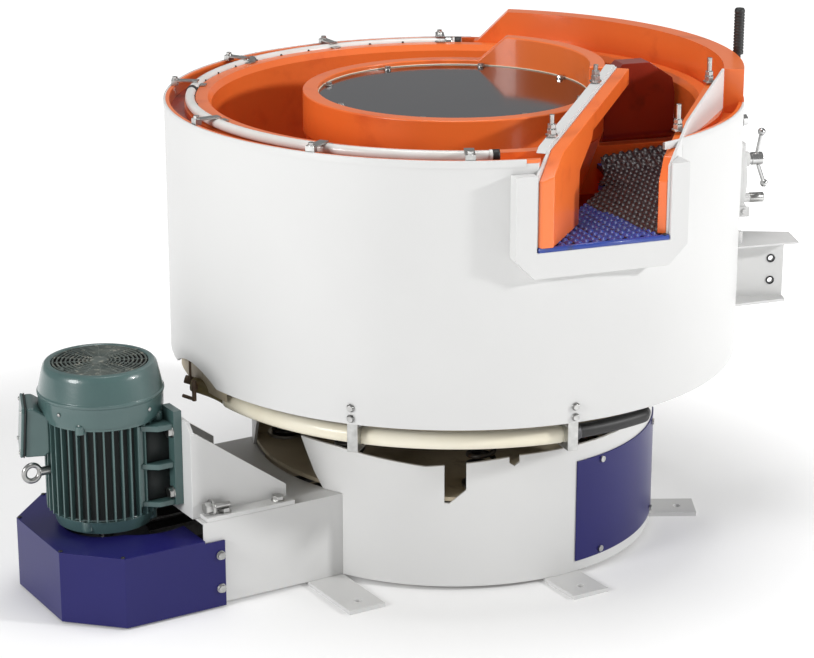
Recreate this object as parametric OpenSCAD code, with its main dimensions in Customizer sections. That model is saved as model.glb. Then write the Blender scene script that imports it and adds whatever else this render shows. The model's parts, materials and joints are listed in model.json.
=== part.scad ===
// Rotary vibratory tumbler: a sprung finishing bowl on a round base, driven by a side motor through V-belts.
// Origin on the bowl's axis at floor level, +Z up, belt housing and motor towards -X.

/* [Bowl] */
// Outer radius of the bowl wall
bowl_r = 550; // [548:1:552]
// Height of the bowl rim above the floor
rim_z = 858; // [856:1:862]
// Height of the lower edge of the bowl skirt
skirt_z = 373; // [368:1:378]
// Thickness of the bowl sheet steel
wall_t = 6; // [5:1:7]
// Thickness of the cast polyurethane lining
lining_t = 22; // [18:1:26]
// Radius of the round channel bottom
channel_r = 130; // [126:1:132]
// Height of the top of the raised wall beside the chute
riser_z = 920; // [910:1:930]

/* [Hub] */
// Outer radius of the hub ring
hub_r = 287; // [285:1:289]
// Radius of the hub cover plate
cover_r = 257; // [255:1:257]
// Height of the low part of the hub ring
hub_z = 868; // [864:1:872]

/* [Chute] */
// Direction of the chute from straight front, in degrees
chute_yaw = -10.3; // [-11:0.1:-10]
// Distance of the chute frame's front face from the axis
chute_front = 565; // [563:1:567]
// Height of the chute lip
lip_z = 700; // [698:1:702]
// Thickness of the screen deck
deck_t = 10; // [8:1:12]

/* [Base] */
// Outer radius of the base shell
base_r = 396; // [394:1:398]
// Height of the base shell's rim
base_z = 262; // [258:1:264]
// Number of support springs
springs = 8; // [6:1:8]
// Radius of the circle of springs
spring_circle_r = 330; // [328:1:332]
// Mean coil radius of a support spring
spring_r = 24; // [22:1:26]
// Length of a loaded support spring
spring_len = 94; // [93:1:95]

/* [Drive] */
// Distance from the bowl axis to the motor axis
belt_centres = 752; // [750:1:754]
// Pitch radius of the motor pulley
motor_pulley_r = 76; // [74:1:76]
// Pitch radius of the driven pulley
driven_pulley_r = 95; // [93:1:97]
// Radius of the motor's finned body
motor_r = 106; // [105:1:107]

/* [Hidden] */
$fn = 96;
eps = 1;

// Channel section
channel_c = 330;
channel_z = 545;
channel_in = channel_c - channel_r;
channel_out = channel_c + channel_r;
hub_shoulder_z = 790;

// Raised sector of the outer wall and of the hub
riser_from = -40;
riser_to = 53;
hub_riser_from = -42;
hub_riser_to = 48;
hub_riser_z = 918;

// Chute corners in the chute's own turned frame: x to the right, -y outwards
left_a = [-71, -557];
left_b = [259, -164];
right_a = [184, -557];
right_b = [446, -253];
left_len = norm(left_b - left_a);
right_len = norm(right_b - right_a);
frame_out_l = -110;
frame_in_l = -70;
frame_in_r = 183;
frame_out_r = 218;
cheek_sheet_t = 5;
cheek_z = lip_z + 4;
frame_bottom = 650;
frame_top = 834;

// Base
shell_t = 6;
deck_z = 176;
deck_plate_t = 8;
floor_gap = 8;
tab_t = 8;
tab_hole_r = 7;
tab_hole_at = 455;
cover_dir = -60;
seat_t = 6;
seats_z = deck_z + deck_plate_t;
plate_z = seats_z + 2 * seat_t + spring_len;
plate_t = 8;

// Belt housing and guard
arm_half = 180;
arm_z = 170;
arm_end = -640;
sheet_t = 4;
guard_half = 186;
guard_z = 138;
guard_end = -888;
guard_chamfer = 88;
guard_bolt_x = -610;
bracket_bolt_y = 165.5;
belt_z = 84;
belt_pitch_z = 24;
belt_w = 17;

// Motor
foot_x = -648;
foot_bolt_y = 107;
motor_bottom = 141;
motor_top = 451;
cowl_z = 356;
shaft_r = 14;
drive_shaft_r = 20;
exciter_shaft_r = 30;
running = 0.05;
coupling_z = 198;

// Flap and door
flap_dir = -13;
flap_z = 760;
dam_z = 735;
deck_bottom = lip_z - 9;
door_dir = -20.5;
door_z = 674;
clamp_up = 27;
notch_r = 193;

// Channel ramp
ramp_steps = 20;
ramp_from = 190;
ramp_to = 6;
ramp_low = channel_z - channel_r + 12;
ramp_high = 690;
ramp_n = 13;

// Spray pipe and drain hose
spray_r = 500.5;
spray_z = rim_z - 1.6;
spray_from = 57;
spray_to = 246;
hose_z = 340;
hose_circle = 510;

// Sector of a disc between two angles, each under 180 degrees apart
module sector(r, a, b) {
    m = (a + b) / 2;
    f = r / cos((b - a) / 4);
    polygon([[0, 0], [f * cos(a), f * sin(a)], [f * cos((a + m) / 2), f * sin((a + m) / 2)],
        [f * cos(m), f * sin(m)], [f * cos((m + b) / 2), f * sin((m + b) / 2)], [f * cos(b), f * sin(b)]]);
}

// A plain ring
module ring(r_out, r_in, z0, z1) {
    translate([0, 0, z0])
        difference() {
            cylinder(h = z1 - z0, r = r_out);
            translate([0, 0, -eps]) cylinder(h = z1 - z0 + 2 * eps, r = r_in);
        }
}

// Part of a ring between two angles
module ring_part(r_out, r_in, z0, z1, a, b) {
    intersection() {
        ring(r_out, r_in, z0, z1);
        translate([0, 0, z0 - eps]) linear_extrude(z1 - z0 + 2 * eps) sector(r_out + 60, a, b);
    }
}

// Children placed on a circle: x outwards, at an angle and height
module at(r, a, z) {
    rotate([0, 0, a]) translate([r, 0, z]) children();
}

// Hexagon-head bolt along +Z with its washer face at the origin
module hex_bolt(af, length) {
    translate([0, 0, 2]) cylinder(h = af * 0.4, r = af / sqrt(3), $fn = 6);
    cylinder(h = 2, r = af * 0.68);
    if (length > 0) translate([0, 0, -length]) cylinder(h = length, r = af * 0.3);
}

// The channel's hollow in section, grown outwards by g
module channel_section(g) {
    translate([channel_c, channel_z]) circle(r = channel_r + g);
    polygon([[channel_in - g, channel_z], [channel_out + g, channel_z], [channel_out + g, riser_z + 20],
        [hub_r - g, riser_z + 20], [hub_r - g, hub_shoulder_z]]);
}

// The space that the chute cuts through the bowl wall above the deck
module chute_void(z0) {
    rotate([0, 0, chute_yaw])
        translate([0, 0, z0])
            linear_extrude(riser_z + 40 - z0)
                polygon([left_a + [-60, -70], left_a, left_b, right_b, right_a, right_a + [-40, -70]]);
}

// ---------- base ----------
module base_shell() {
    color("gainsboro") difference() {
        ring(base_r, base_r - shell_t, floor_gap, base_z);
        // opening for the belt housing
        translate([-base_r - 20, -arm_half - 0.5, -eps]) cube([90 + 20, 2 * arm_half + 1, arm_z + eps + 0.5]);
        // notch above the housing, narrower at the top
        rotate([90, 0, 90]) translate([0, 0, -base_r - 20])
            linear_extrude(90) polygon([[-140, arm_z], [140, arm_z], [118, 200], [84, base_z + eps],
                [-84, base_z + eps], [-118, 200]]);
        // slot with a sloped bottom and a small pointed notch towards the front
        rotate([0, 0, -121]) rotate([90, 0, 90]) translate([0, 0, base_r - 20]) linear_extrude(40)
            polygon([[-20, 174], [-10, 174], [20, 200], [20, 285], [-20, 285]]);
        rotate([0, 0, -105]) rotate([90, 0, 90]) translate([0, 0, base_r - 20]) linear_extrude(40)
            polygon([[-10, base_z + 0.1], [-10, base_z - 13], [0, base_z - 20], [10, base_z - 13],
                [10, base_z + 0.1]]);
        // shallow dip of the rim
        rotate([0, 0, -129]) rotate([90, 0, 90]) translate([0, 0, 300])
            linear_extrude(140) polygon([[-170, base_z + 0.1], [170, base_z + 0.1], [0, base_z - 17]]);
        // screw holes and opening behind the cover
        for (a = [-17, 17], z = [40, 221])
            at(base_r - 20, cover_dir + a, z) rotate([0, 90, 0]) cylinder(h = 30, r = 3.5);
        rotate([0, 0, cover_dir]) translate([base_r - 60, -130, 45]) cube([100, 260, 170]);
    }
}

module spring_deck() {
    color("gainsboro") {
        ring(base_r - shell_t, 64, deck_z, deck_z + deck_plate_t);
        for (a = [45, 135, 225, 315])
            rotate([0, 0, a]) translate([150, -4, floor_gap])
                cube([base_r - shell_t - 152, 8, deck_z - floor_gap]);
    }
}

module foot_tab(a) {
    rotate([0, 0, a]) difference() {
        translate([base_r - 70, -38, 0]) cube([490 - base_r + 70, 76, tab_t]);
        translate([tab_hole_at, 0, -eps]) cylinder(h = tab_t + 2 * eps, r = tab_hole_r);
    }
}

module foot_tabs() {
    color("gainsboro") {
        for (a = [-90, -30, 30, 90]) foot_tab(a);
        for (s = [-1, 1]) difference() {
            translate([-426, s > 0 ? 150 : -335, 0]) cube([75, 185, tab_t]);
            translate([-388.5, s * 300, -eps]) cylinder(h = tab_t + 2 * eps, r = tab_hole_r);
        }
    }
}

module access_cover() {
    color("midnightblue") difference() {
        ring_part(base_r + 3, base_r, 29, 230, cover_dir - 26, cover_dir + 26);
        for (a = [-17, 17], z = [40, 221])
            at(base_r - 10, cover_dir + a, z) rotate([0, 90, 0]) cylinder(h = 30, r = 3.5);
    }
}

module access_cover_screws() {
    color("silver") for (a = [-17, 17], z = [40, 221])
        at(base_r + 3.2, cover_dir + a, z) rotate([0, 90, 0]) {
            cylinder(h = 4, r = 6);
            translate([0, 0, -8.2]) cylinder(h = 8.2, r = 3.3);
        }
}

module belt_housing() {
    x_in = -340;
    len = x_in - arm_end;
    color("gainsboro") difference() {
        translate([arm_end, -arm_half, floor_gap]) cube([len, 2 * arm_half, arm_z - floor_gap]);
        translate([arm_end - eps, -arm_half + sheet_t, floor_gap + sheet_t])
            cube([len + 2 * eps, 2 * arm_half - 2 * sheet_t, arm_z - floor_gap - 2 * sheet_t]);
        // clamping slots for the motor bracket
        for (x = [-590, -480], s = [-1, 1]) translate([x, s * bracket_bolt_y, arm_z - 10]) slot(16, 6.5, 20);
        for (z = [40, 105], s = [-1, 1]) translate([guard_bolt_x, s * (arm_half + 10), z])
            rotate([s * 90, 0, 0]) cylinder(h = 30, r = 4.2);
        // inner part clears the driven pulley and its bearing housing
        translate([0, 0, floor_gap + sheet_t]) cylinder(h = arm_z, r = base_r - shell_t);
    }
}

// Slot along x: half its straight length, radius and height
module slot(half, r, h) {
    for (s = [-1, 1]) translate([s * half, 0, 0]) cylinder(h = h, r = r);
    translate([-half, -r, 0]) cube([2 * half, 2 * r, h]);
}

module guard_outline(inset) {
    g = guard_half - inset;
    e = guard_end + inset;
    c = guard_chamfer - inset * 0.41;
    polygon([[arm_end, -g], [arm_end, g], [e + c, g], [e, g - c], [e, -g + c], [e + c, -g]]);
}

module belt_guard() {
    color("midnightblue") difference() {
        union() {
            difference() {
                translate([0, 0, 4]) linear_extrude(guard_z - 4) guard_outline(0);
                translate([0, 0, -eps]) linear_extrude(guard_z - sheet_t + 2) guard_outline(sheet_t);
                translate([arm_end - 6, -arm_half + 6, -eps]) cube([20, 2 * arm_half - 12, guard_z - 2]);
            }
            // side flaps that lap over the housing
            for (s = [-1, 1]) translate([arm_end - 1, s > 0 ? arm_half + 1 : -guard_half, 4])
                cube([41, guard_half - arm_half - 1, guard_z - 10]);
        }
        // openings for the motor shaft and its take-up travel
        translate([-belt_centres, 0, guard_z - 20]) cylinder(h = 30, r = 80);
        translate([-684, 0, guard_z - 20]) cylinder(h = 30, r = 106);
        for (z = [40, 105], s = [-1, 1]) translate([guard_bolt_x, s * (guard_half + 10), z])
            rotate([s * 90, 0, 0]) cylinder(h = 30, r = 4.2);
    }
}

module belt_guard_bolts() {
    color("silver") for (z = [40, 105], s = [-1, 1])
        translate([guard_bolt_x, s * (guard_half + 0.1), z]) rotate([-s * 90, 0, 0]) hex_bolt(13, 14);
}

module drive_bearing_housing() {
    color("dimgray") difference() {
        union() {
            translate([0, 0, 118]) cylinder(h = 66, r = 62);
            translate([0, 0, deck_z + deck_plate_t]) cylinder(h = 10, r = 108);
        }
        translate([0, 0, 117]) cylinder(h = 90, r = 40);
        for (a = [0:60:300]) rotate([0, 0, a]) translate([88, 0, 180]) cylinder(h = 20, r = 5.5);
    }
}

module drive_bearings() {
    color("silver") for (z = [122, 162]) ring(40, drive_shaft_r + running, z, z + 18);
}

module lower_spring_seats() {
    color("gray") for (i = [0:springs - 1]) at(spring_circle_r, (i + 0.5) * 360 / springs, seats_z) {
        cylinder(h = seat_t, r = 36);
        cylinder(h = seat_t + 18, r = 17);
    }
}

// Each spring is a stack of plain coils between the two seats
module support_springs() {
    wire = 5;
    turns = 6;
    z0 = seats_z + seat_t;
    color("dimgray") for (i = [0:springs - 1]) at(spring_circle_r, (i + 0.5) * 360 / springs, z0)
        for (k = [0:turns - 1])
            translate([0, 0, wire + k * (spring_len - 2 * wire) / (turns - 1)])
                rotate_extrude($fn = 48) translate([spring_r, 0]) circle(r = wire, $fn = 24);
}

module belt_loop(grow) {
    hull() {
        circle(r = driven_pulley_r + grow);
        translate([-belt_centres, 0]) circle(r = motor_pulley_r + grow);
    }
}

module v_belts() {
    color("black") for (s = [-0.5, 0.5]) translate([0, 0, belt_z + s * belt_pitch_z - belt_w / 2])
        linear_extrude(belt_w) difference() {
            belt_loop(5);
            belt_loop(-6);
        }
}

// ---------- motor carriage ----------
module motor_bracket() {
    z0 = arm_z + 0.3;
    color("gainsboro") difference() {
        union() {
            translate([foot_x, -152, z0]) cube([8, 304, 352 - z0]);
            for (s = [-1, 1]) {
                translate([0, s > 0 ? 144 : -152, 0]) rotate([90, 0, 0]) translate([0, 0, -8])
                    linear_extrude(8) polygon([[foot_x + 8, z0], [-455, z0], [-455, 201], [foot_x + 8, 335]]);
                translate([-632, s > 0 ? 150 : -180, z0]) cube([180, 30, 8]);
            }
        }
        for (y = [-foot_bolt_y, foot_bolt_y], z = [212, 330])
            translate([foot_x - 10, y, z]) rotate([0, 90, 0]) cylinder(h = 30, r = 6);
        for (x = [-590, -480], s = [-1, 1]) translate([x, s * bracket_bolt_y, arm_z - 5])
            cylinder(h = 20, r = 6.5);
        for (s = [-1, 1]) translate([foot_x - 1, s * 152, 352]) rotate([0, 90, 0])
            cylinder(h = 10, r = 20, $fn = 4);
    }
}

module bracket_bolts() {
    color("silver") {
        for (x = [-590, -480], s = [-1, 1]) translate([x, s * bracket_bolt_y, arm_z + 8.4]) hex_bolt(19, 24);
        for (y = [-foot_bolt_y, foot_bolt_y], z = [212, 330])
            translate([foot_x - 16.2, y, z]) rotate([0, -90, 0]) hex_bolt(18, 30);
        // belt jacking screws and their big washers
        for (s = [-1, 1]) translate([-616, s * 168, arm_z + 24]) rotate([0, 90, 0]) {
            translate([0, 0, -4]) cylinder(h = 5, r = 15);
            translate([0, 0, -16]) cylinder(h = 12, r = 11, $fn = 6);
            translate([0, 0, 1]) cylinder(h = 34, r = 5);
        }
    }
}

module motor_axis() {
    translate([-belt_centres, 0, 0]) children();
}

module motor_frame() {
    fins = 40;
    fin_top = 352;
    color([0.3, 0.4, 0.4]) motor_axis() {
        difference() {
            union() {
                translate([0, 0, 172]) cylinder(h = fin_top - 172, r = motor_r - 13);
                for (i = [0:fins - 1]) rotate([0, 0, i * 360 / fins + 4.5])
                    translate([motor_r - 16, -1.6, 176]) cube([16, 3.2, fin_top - 176]);
                translate([0, 0, fin_top - 2]) cylinder(h = 10, r = motor_r + 1);
            }
            translate([0, 0, 171]) cylinder(h = fin_top - 171, r = 62);
            // seat of the upper bearing
            translate([0, 0, 171]) cylinder(h = 200, r = shaft_r + running);
            // flat beside the bracket
            translate([foot_x + belt_centres - 0.3, -200, 170]) cube([40, 400, 200]);
        }
        // two feet, each a pad carried on webs
        for (s = [-1, 1]) {
            difference() {
                translate([foot_x + belt_centres - 16, s > 0 ? 70 : -118, 190]) cube([15.8, 48, 180]);
                for (z = [212, 330]) translate([foot_x + belt_centres - 20, s * foot_bolt_y, z])
                    rotate([0, 90, 0]) cylinder(h = 30, r = 6);
            }
            for (z = [192, 262, 332]) translate([0, s > 0 ? 78 : -88, z])
                cube([foot_x + belt_centres - 10, 10, 12]);
            translate([20, s > 0 ? 84 : -94, 190]) cube([foot_x + belt_centres - 30, 10, 154]);
        }
    }
}

module motor_end_shield() {
    color([0.3, 0.4, 0.4]) motor_axis() difference() {
        union() {
            translate([0, 0, motor_bottom + 6]) cylinder(h = 25, r1 = motor_r - 17, r2 = motor_r - 9);
            translate([0, 0, motor_bottom]) cylinder(h = 6, r = 72);
            for (a = [45:90:315]) at(motor_r - 17, a, 154) cylinder(h = 18, r = 11);
        }
        translate([0, 0, motor_bottom - eps]) cylinder(h = 40, r = shaft_r + running);
    }
}

// Fan cowl in section, shrunk by an inset
module cowl_section(inset) {
    r = motor_r + 7.5 - inset;
    polygon([[0, cowl_z - inset], [motor_r + 4.2 - inset, cowl_z - inset], [r, 368], [r, 398],
        [motor_r - 3 - inset, 444], [motor_r - 8 - inset, motor_top - inset], [0, motor_top - inset]]);
}

module motor_cowl() {
    color([0.3, 0.4, 0.4]) motor_axis() difference() {
        rotate_extrude() cowl_section(0);
        rotate_extrude() cowl_section(3);
        for (r = [24, 44, 64], i = [0:7]) rotate([0, 0, i * 45 + r]) translate([r, 0, motor_top - 10])
            cylinder(h = 20, r = 5);
    }
}

module terminal_box() {
    color([0.3, 0.4, 0.4]) motor_axis() difference() {
        union() {
            translate([-122, -38, 290]) cube([26, 76, 60]);
            translate([-140, -45, 284]) cube([22, 90, 96]);
            translate([-146, -48, 281]) cube([6, 96, 102]);
        }
        cylinder(h = 600, r = motor_r + 0.2);
        translate([-140.1, -41, 288]) cube([18, 82, 88]);
        translate([-131, 38, 330]) rotate([-90, 0, 0]) cylinder(h = 12, r = 8);
    }
}

module lifting_eye() {
    color("silver") motor_axis() rotate([0, 0, 180]) translate([motor_r + 0.2, 0, 259]) {
        rotate([0, 90, 0]) cylinder(h = 20, r = 8);
        translate([34, 0, 0]) rotate([90, 0, 0]) rotate_extrude() translate([15, 0]) circle(r = 5, $fn = 24);
    }
}

// ---------- motor rotor ----------
module motor_shaft() {
    color("silver") motor_axis() {
        translate([0, 0, 52]) cylinder(h = 375, r = shaft_r);
        translate([0, 0, 190]) cylinder(h = 130, r = 60);
    }
}

module motor_fan() {
    color("dimgray") motor_axis() {
        ring(24, shaft_r, 372, 410);
        ring(96, 24, 372, 376);
        for (i = [0:6]) rotate([0, 0, i * 360 / 7]) translate([23, -1.5, 376]) cube([70, 3, 34]);
    }
}

// A pulley with two grooves round the z axis
module pulley(pitch_r, bore_r, z_mid) {
    h = belt_pitch_z + belt_w + 14;
    difference() {
        translate([0, 0, z_mid - h / 2]) cylinder(h = h, r = pitch_r + 4);
        translate([0, 0, z_mid - h]) cylinder(h = 2 * h, r = bore_r);
        for (s = [-0.5, 0.5]) ring(pitch_r + 10, pitch_r - 6.5, z_mid + s * belt_pitch_z - belt_w / 2 - 0.5,
            z_mid + s * belt_pitch_z + belt_w / 2 + 0.5);
    }
}

module motor_pulley() {
    color("dimgray") motor_axis() pulley(motor_pulley_r, shaft_r, belt_z);
}

// ---------- drive shaft ----------
module drive_shaft() {
    color("silver") translate([0, 0, 48]) cylinder(h = coupling_z + 8 - 48, r = drive_shaft_r);
}

module driven_pulley() {
    color("dimgray") pulley(driven_pulley_r, drive_shaft_r, belt_z);
}

// Three coupling jaws, each 40 degrees wide, centred on an angle
module jaws(z0, z1, a) {
    for (k = [0:2]) ring_part(54, 30, z0, z1, a + k * 120 - 20, a + k * 120 + 20);
}

module coupling_lower() {
    color("dimgray") {
        ring(55, drive_shaft_r, coupling_z, coupling_z + 8);
        jaws(coupling_z + 8, coupling_z + 32, 0);
    }
}

module coupling_spider() {
    color("orangered") for (k = [0:5])
        ring_part(54, 30, coupling_z + 8.1, coupling_z + 30, k * 60 + 21.5, k * 60 + 38.5);
}

module coupling_upper() {
    color("dimgray") {
        ring(55, exciter_shaft_r, coupling_z + 41, coupling_z + 51);
        jaws(coupling_z + 18, coupling_z + 41, 60);
    }
}

// ---------- exciter ----------
module exciter_shaft() {
    color("silver") {
        translate([0, 0, coupling_z + 41]) cylinder(h = 660 - coupling_z - 41, r = exciter_shaft_r);
        translate([0, 0, 380]) cylinder(h = 110, r = 36);
    }
}

// Half-disc unbalance weight with a clamping hub
module weight(z0, h, r, a) {
    rotate([0, 0, a]) {
        ring(52, exciter_shaft_r, z0, z0 + h);
        ring_part(r, 52, z0, z0 + h, -60, 60);
        for (b = [-40, 0, 40]) at(r * 0.78, b, z0 + h) cylinder(h = 6, r = 11, $fn = 6);
    }
}

module lower_weight() {
    color("slategray") weight(252, 24, 150, 0);
}

module upper_weight() {
    color("slategray") weight(606, 34, 150, 90);
}

// ---------- bowl ----------
module bowl_shell() {
    color("whitesmoke") difference() {
        union() {
            ring(bowl_r, bowl_r - wall_t, skirt_z, rim_z - 6);
            ring(bowl_r - wall_t, channel_out + lining_t + wall_t, 818, 824);
            ring(bowl_r - wall_t, channel_out + lining_t + wall_t, 560, 566);
            rotate_extrude() difference() {
                intersection() {
                    channel_section(lining_t + wall_t);
                    translate([0, 300]) square([700, 524]);
                }
                channel_section(lining_t);
            }
        }
        chute_void(lip_z - 15);
        // arched notch in the skirt over the hose end
        at(bowl_r - 20, 176, skirt_z + 25 - notch_r) rotate([0, 90, 0]) cylinder(h = 40, r = notch_r);
        // discharge port and flap shaft holes
        at(channel_out, door_dir, door_z) rotate([0, 90, 0]) cylinder(h = 120, r = 50);
        at(channel_out, flap_dir, flap_z) rotate([0, 90, 0]) cylinder(h = 120, r = 12 + running);
    }
}

module bowl_underframe() {
    top = plate_z + plate_t;
    color("gainsboro") {
        ring(420, 92, plate_z, top);
        difference() {
            union() {
                ring(384, 376, top, 404);
                ring(234, 226, top, 440);
                for (a = [0:45:315]) rotate([0, 0, a]) translate([100, -4, top]) cube([280, 8, 120]);
            }
            rotate_extrude() channel_section(lining_t + wall_t);
            translate([0, 0, top - eps]) cylinder(h = 150, r = 140);
        }
    }
}

module upper_spring_seats() {
    color("gray") for (i = [0:springs - 1]) at(spring_circle_r, (i + 0.5) * 360 / springs, plate_z - seat_t) {
        cylinder(h = seat_t, r = 36);
        translate([0, 0, -18]) cylinder(h = 19, r = 17);
    }
}

module exciter_housing() {
    color("dimgray") difference() {
        union() {
            translate([0, 0, plate_z]) cylinder(h = 560 - plate_z, r = 91.7);
            translate([0, 0, plate_z + plate_t]) cylinder(h = 12, r = 136);
        }
        translate([0, 0, plate_z - eps]) cylinder(h = 600 - plate_z, r = 62);
        for (a = [0:45:315]) rotate([0, 0, a]) translate([114, 0, plate_z]) cylinder(h = 40, r = 6.5);
    }
}

module exciter_bearings() {
    color("silver") for (z = [plate_z + 6, 518]) ring(62, exciter_shaft_r + running, z, z + 34);
}

module bowl_lining() {
    color([0.94, 0.42, 0.14]) difference() {
        union() {
            rotate_extrude() {
                difference() {
                    intersection() {
                        channel_section(lining_t);
                        translate([channel_c, 300]) square([300, rim_z - 12 - 300]);
                    }
                    channel_section(0);
                }
                difference() {
                    intersection() {
                        channel_section(lining_t);
                        translate([0, 300]) square([channel_c, hub_shoulder_z - 300]);
                    }
                    channel_section(0);
                }
                // rim with its pipe ledge, groove and outer lip
                polygon([[channel_out, rim_z - 12], [channel_out + 7, rim_z], [490, rim_z], [490, rim_z - 12],
                    [511, rim_z - 12], [511, rim_z - 22], [538, rim_z - 22], [540, rim_z], [bowl_r, rim_z],
                    [bowl_r, rim_z - 6], [bowl_r - wall_t, rim_z - 6], [bowl_r - wall_t, 824],
                    [channel_out, 824]]);
            }
            // raised wall, its far end sloped
            difference() {
                intersection() {
                    rotate_extrude() polygon([[510, rim_z - 24], [bowl_r - 8, rim_z - 24],
                        [bowl_r - 8, rim_z - 4], [bowl_r - 2, rim_z - 4], [bowl_r - 2, riser_z],
                        [510, riser_z]]);
                    linear_extrude(riser_z + 10) sector(bowl_r + 60, riser_from, riser_to);
                }
                rotate([0, 0, riser_to]) rotate([90, 0, 90]) translate([0, 0, 400]) linear_extrude(200)
                    polygon([[20, rim_z], [20, riser_z + eps], [-70, riser_z + eps], [-8, rim_z]]);
            }
            // threshold that the flap stands on, between the deck and the channel
            intersection() {
                rotate_extrude() channel_section(eps);
                ring_part(480, 220, 640, dam_z, flap_dir - 3.8, flap_dir + 4);
            }
        }
        chute_void(lip_z - 15);
        at(channel_out - 20, door_dir, door_z) rotate([0, 90, 0]) cylinder(h = 200, r = 50);
        at(channel_out - 20, flap_dir, flap_z) rotate([0, 90, 0]) cylinder(h = 200, r = 14);
    }
}

module hub_lining() {
    color([0.94, 0.42, 0.14]) {
        rotate_extrude() polygon([[hub_r - lining_t, hub_shoulder_z], [hub_r, hub_shoulder_z], [hub_r, hub_z],
            [cover_r + 1, hub_z], [cover_r + 1, 850], [cover_r - 14, 850], [cover_r - 14, 836],
            [hub_r - lining_t, 825]]);
        difference() {
            ring_part(hub_r, cover_r + 1, hub_z, hub_riser_z, hub_riser_from, hub_riser_to);
            rotate([0, 0, hub_riser_to]) rotate([90, 0, 90]) translate([0, 0, 200]) linear_extrude(120)
                polygon([[2, hub_z - 1], [2, hub_riser_z + 1], [-62, hub_riser_z + 1], [-4, hub_z - 1]]);
        }
    }
}

// Rising floor of the channel, ring by ring from its low end to the flap
function ramp_half(z) = sqrt(pow(channel_r - 2.5, 2) - pow(min(z, channel_z - 1) - channel_z, 2));
// How far the hub's side leans into the channel at a height
function ramp_lean(z) = max(0, z - channel_z) * (hub_r - channel_in) / (hub_shoulder_z - channel_z);
function ramp_ring(i) =
    let (f = i / ramp_steps, a = ramp_from + (ramp_to - ramp_from) * f)
    let (z = ramp_low + (ramp_high - ramp_low) * f, zc = min(z, channel_z))
    let (s = asin((channel_z - zc) / (channel_r - 2.5)), half = ramp_half(zc), lean = ramp_lean(z))
    concat([for (k = [0:10])
            let (b = 180 + s + (180 - 2 * s) * k / 10, r = channel_c + (channel_r - 2.5) * cos(b))
            [r * cos(a), r * sin(a), channel_z + (channel_r - 2.5) * sin(b)]],
        [for (r = [channel_c + half, channel_c - half + lean])
            [r * cos(a), r * sin(a), z + (z > zc ? 0 : 0.5)]]);
module channel_ramp() {
    points = [for (i = [0:ramp_steps]) each ramp_ring(i)];
    sides = [for (i = [0:ramp_steps - 1], k = [0:ramp_n - 1])
        let (j = (k + 1) % ramp_n, p = i * ramp_n, q = p + ramp_n)
        each [[p + k, q + k, q + j], [p + k, q + j, p + j]]];
    color([0.94, 0.42, 0.14])
        polyhedron(points, concat([[for (k = [0:ramp_n - 1]) k]], sides,
            [[for (k = [ramp_n - 1:-1:0]) ramp_steps * ramp_n + k]]), convexity = 6);
}

module hub_cover() {
    color("gray") difference() {
        translate([0, 0, 850.1]) cylinder(h = 8, r = cover_r);
        for (a = [0:45:315]) rotate([0, 0, a]) translate([246, 0, 845]) cylinder(h = 20, r = 4.2);
    }
}

module hub_cover_bolts() {
    color("silver") for (a = [0:45:315]) rotate([0, 0, a]) translate([246, 0, 858.2]) hex_bolt(11, 8);
}

module chute_place() {
    rotate([0, 0, chute_yaw]) children();
}

// A flat outline in the chute's x and z, pushed outwards by a depth behind the front face
module chute_plate(front, depth) {
    translate([0, -front + depth, 0]) rotate([90, 0, 0]) linear_extrude(depth) children();
}

module chute_frame() {
    l = frame_out_l;
    r = frame_out_r;
    c = 36;
    color("whitesmoke") {
        difference() {
            chute_place() chute_plate(chute_front, 75) difference() {
                polygon([[l, frame_bottom + c], [l + c, frame_bottom], [r - c, frame_bottom],
                    [r, frame_bottom + c], [r, frame_top], [l, frame_top]]);
                translate([frame_in_l, lip_z - 3]) square([frame_in_r - frame_in_l, 200]);
            }
            translate([0, 0, frame_bottom - 20]) cylinder(h = 300, r = bowl_r);
            // room for the deck and the cheeks
            translate([0, 0, deck_bottom - 0.1]) {
                linear_extrude(deck_t + 1) deck_outline(5);
                chute_place() linear_extrude(300)
                    polygon([left_a, left_b, right_b, right_a, right_a - [0, 3], left_a - [0, 3]]);
            }
            // hollow behind the front plate
            chute_place() chute_plate(chute_front - 5, 75) difference() {
                polygon([[l + 5, frame_bottom + c], [l + c, frame_bottom + 5], [r - c, frame_bottom + 5],
                    [r - 5, frame_bottom + c], [r - 5, frame_top - 5], [l + 5, frame_top - 5]]);
                translate([frame_in_l - 5, lip_z - 8]) square([frame_in_r - frame_in_l + 10, 200]);
            }
        }
        // floor plate under the deck
        difference() {
            intersection() {
                translate([0, 0, deck_bottom - 5.2]) linear_extrude(5) deck_outline(6);
                translate([0, 0, lip_z - 40]) ring(700, channel_out + 1, 0, 60);
            }
            translate([0, 0, lip_z - 40]) difference() {
                cylinder(h = 90, r = bowl_r + 0.1);
                translate([0, 0, -eps]) cylinder(h = 92, r = bowl_r - 40);
            }
        }
    }
}

// Outline of the screen deck seen from above, shrunk by an inset
module deck_outline(inset) {
    deck_out = channel_out - 2;
    deck_in = hub_r + 4;
    union() {
        difference() {
            rotate([0, 0, chute_yaw]) polygon([[left_a[0] + 2, -chute_front + inset],
                [right_a[0] - 2, -chute_front + inset], right_a + [-2, 0], right_b + [-26, 8], [394, -232],
                [300, -120], left_b + [2, 0], left_a + [2, 0]]);
            circle(r = deck_in);
        }
        difference() {
            intersection() {
                circle(r = deck_out);
                sector(deck_out + 20, -52, flap_dir - 4);
            }
            circle(r = deck_in);
        }
    }
}

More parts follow.
